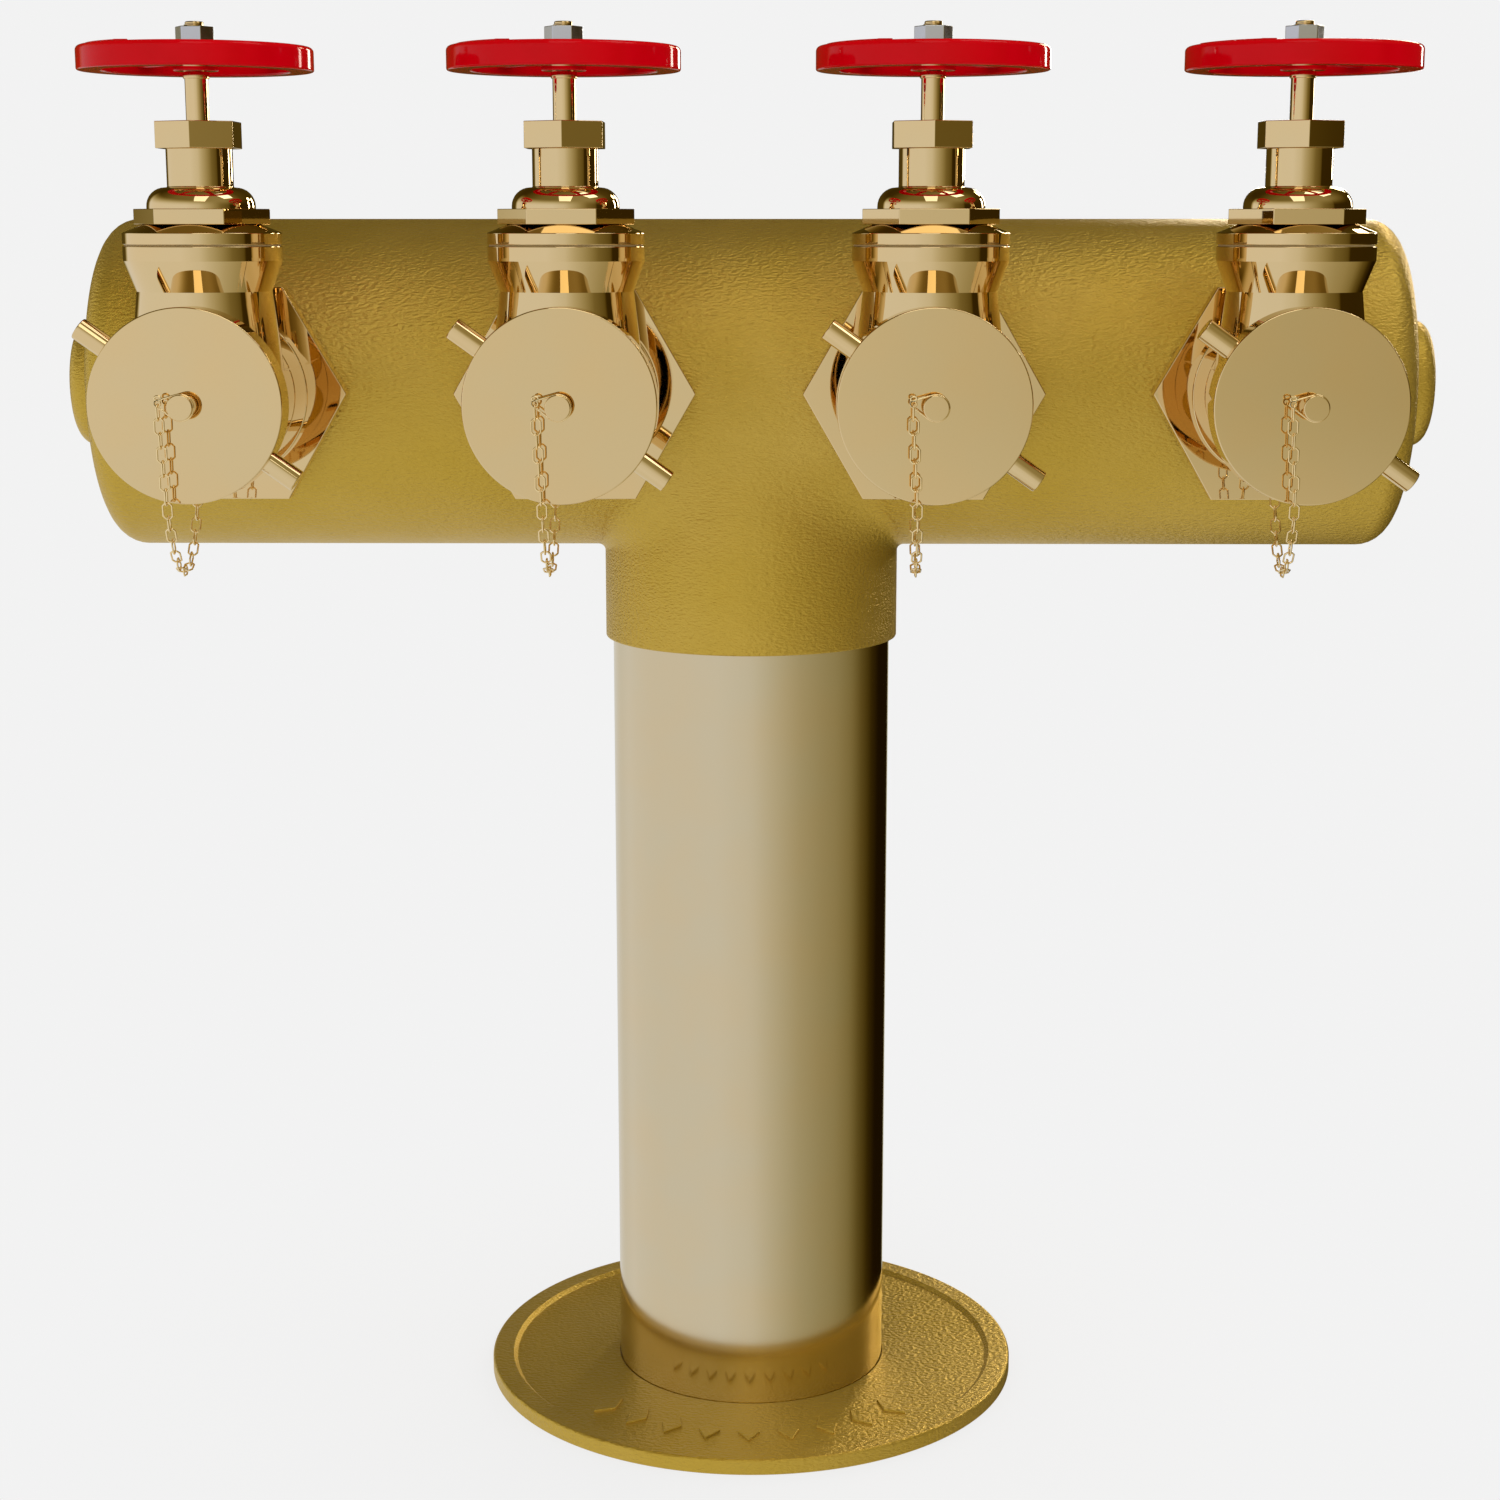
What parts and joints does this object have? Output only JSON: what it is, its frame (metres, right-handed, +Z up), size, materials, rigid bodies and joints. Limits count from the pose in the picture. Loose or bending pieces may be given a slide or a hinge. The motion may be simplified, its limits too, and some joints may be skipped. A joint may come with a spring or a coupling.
{
  "type": "fire pump test connection",
  "caption": "Free-standing brass test header on a sleeve and round floor plate, with handwheel hose gate valves side by side, each closed by a chained screw cap.",
  "frame": {"origin": "on the floor, on the axis of the sleeve and riser", "axes": "+Z up along the riser, -Y towards the hose outlets, +X along the header to the right of someone who faces the caps"},
  "size_m": [0.73, 0.3547, 0.7468],
  "materials": {
    "cast_brass": "rough cast, satin",
    "sleeve_brass": "polished",
    "polished_brass": "polished",
    "chain_brass": "polished wire",
    "red_enamel": "gloss enamel",
    "chrome_plate": "bright plate",
    "gasket": "moulded rubber",
    "packing": "graphite packing"
  },
  "bodies": {
    "header": {"header_body": "cast_brass", "sleeve": "sleeve_brass", "floor_plate": "cast_brass", "valve_body_1": "polished_brass", "bonnet_1": "polished_brass", "bonnet_gasket_1": "gasket", "gland_packing_1": "packing", "gland_nut_1": "polished_brass", "valve_body_2": "polished_brass", "bonnet_2": "polished_brass", "bonnet_gasket_2": "gasket", "gland_packing_2": "packing", "gland_nut_2": "polished_brass", "valve_body_3": "polished_brass", "bonnet_3": "polished_brass", "bonnet_gasket_3": "gasket", "gland_packing_3": "packing", "gland_nut_3": "polished_brass", "valve_body_4": "polished_brass", "bonnet_4": "polished_brass", "bonnet_gasket_4": "gasket", "gland_packing_4": "packing", "gland_nut_4": "polished_brass"},
    "stem_1": {"stem_1": "polished_brass", "handwheel_1": "red_enamel", "wheel_nut_1": "chrome_plate"},
    "gate_1": {"gate_1": "polished_brass"},
    "cap_1": {"cap_1": "polished_brass", "cap_gasket_1": "gasket", "chain_stud_1": "polished_brass"},
    "hook_1": {"chain_hook_1": "chain_brass", "chain_1": "chain_brass"},
    "stem_2": {"stem_2": "polished_brass", "handwheel_2": "red_enamel", "wheel_nut_2": "chrome_plate"},
    "gate_2": {"gate_2": "polished_brass"},
    "cap_2": {"cap_2": "polished_brass", "cap_gasket_2": "gasket", "chain_stud_2": "polished_brass"},
    "hook_2": {"chain_hook_2": "chain_brass", "chain_2": "chain_brass"},
    "stem_3": {"stem_3": "polished_brass", "handwheel_3": "red_enamel", "wheel_nut_3": "chrome_plate"},
    "gate_3": {"gate_3": "polished_brass"},
    "cap_3": {"cap_3": "polished_brass", "cap_gasket_3": "gasket", "chain_stud_3": "polished_brass"},
    "hook_3": {"chain_hook_3": "chain_brass", "chain_3": "chain_brass"},
    "stem_4": {"stem_4": "polished_brass", "handwheel_4": "red_enamel", "wheel_nut_4": "chrome_plate"},
    "gate_4": {"gate_4": "polished_brass"},
    "cap_4": {"cap_4": "polished_brass", "cap_gasket_4": "gasket", "chain_stud_4": "polished_brass"},
    "hook_4": {"chain_hook_4": "chain_brass", "chain_4": "chain_brass"}
  },
  "joints": [
    {"name": "stem_turn_1", "type": "hinge", "parent": "header", "child": "stem_1", "pos_m": [-0.2667, -0.1375, 0.5665], "axis": [0, 0, 1], "range_deg": [0, 3240]},
    {"name": "gate_lift_1", "type": "slide", "parent": "header", "child": "gate_1", "axis": [0, 0, 1], "range_m": [0, 0.0572]},
    {"name": "cap_draw_1", "type": "slide", "parent": "header", "child": "hook_1", "axis": [0, -1, 0], "range_m": [0, 0.01698], "deforming": ["chain_1"]},
    {"name": "cap_turn_1", "type": "hinge", "parent": "hook_1", "child": "cap_1", "pos_m": [-0.2667, -0.1375, 0.5665], "axis": [0, -1, 0], "range_deg": [0, 1800]},
    {"name": "stem_turn_2", "type": "hinge", "parent": "header", "child": "stem_2", "pos_m": [-0.0889, -0.1375, 0.5665], "axis": [0, 0, 1], "range_deg": [0, 3240]},
    {"name": "gate_lift_2", "type": "slide", "parent": "header", "child": "gate_2", "axis": [0, 0, 1], "range_m": [0, 0.0572]},
    {"name": "cap_draw_2", "type": "slide", "parent": "header", "child": "hook_2", "axis": [0, -1, 0], "range_m": [0, 0.01698], "deforming": ["chain_2"]},
    {"name": "cap_turn_2", "type": "hinge", "parent": "hook_2", "child": "cap_2", "pos_m": [-0.0889, -0.1375, 0.5665], "axis": [0, -1, 0], "range_deg": [0, 1800]},
    {"name": "stem_turn_3", "type": "hinge", "parent": "header", "child": "stem_3", "pos_m": [0.0889, -0.1375, 0.5665], "axis": [0, 0, 1], "range_deg": [0, 3240]},
    {"name": "gate_lift_3", "type": "slide", "parent": "header", "child": "gate_3", "axis": [0, 0, 1], "range_m": [0, 0.0572]},
    {"name": "cap_draw_3", "type": "slide", "parent": "header", "child": "hook_3", "axis": [0, -1, 0], "range_m": [0, 0.01698], "deforming": ["chain_3"]},
    {"name": "cap_turn_3", "type": "hinge", "parent": "hook_3", "child": "cap_3", "pos_m": [0.0889, -0.1375, 0.5665], "axis": [0, -1, 0], "range_deg": [0, 1800]},
    {"name": "stem_turn_4", "type": "hinge", "parent": "header", "child": "stem_4", "pos_m": [0.2667, -0.1375, 0.5665], "axis": [0, 0, 1], "range_deg": [0, 3240]},
    {"name": "gate_lift_4", "type": "slide", "parent": "header", "child": "gate_4", "axis": [0, 0, 1], "range_m": [0, 0.0572]},
    {"name": "cap_draw_4", "type": "slide", "parent": "header", "child": "hook_4", "axis": [0, -1, 0], "range_m": [0, 0.01698], "deforming": ["chain_4"]},
    {"name": "cap_turn_4", "type": "hinge", "parent": "hook_4", "child": "cap_4", "pos_m": [0.2667, -0.1375, 0.5665], "axis": [0, -1, 0], "range_deg": [0, 1800]}
  ],
  "couplings": [
    {"joint": "gate_lift_1", "follows": "stem_turn_1", "m_per_rad": 0.0010106},
    {"joint": "cap_draw_1", "follows": "cap_turn_1", "m_per_rad": 0.000539},
    {"joint": "gate_lift_2", "follows": "stem_turn_2", "m_per_rad": 0.0010106},
    {"joint": "cap_draw_2", "follows": "cap_turn_2", "m_per_rad": 0.000539},
    {"joint": "gate_lift_3", "follows": "stem_turn_3", "m_per_rad": 0.0010106},
    {"joint": "cap_draw_3", "follows": "cap_turn_3", "m_per_rad": 0.000539},
    {"joint": "gate_lift_4", "follows": "stem_turn_4", "m_per_rad": 0.0010106},
    {"joint": "cap_draw_4", "follows": "cap_turn_4", "m_per_rad": 0.000539}
  ]
}
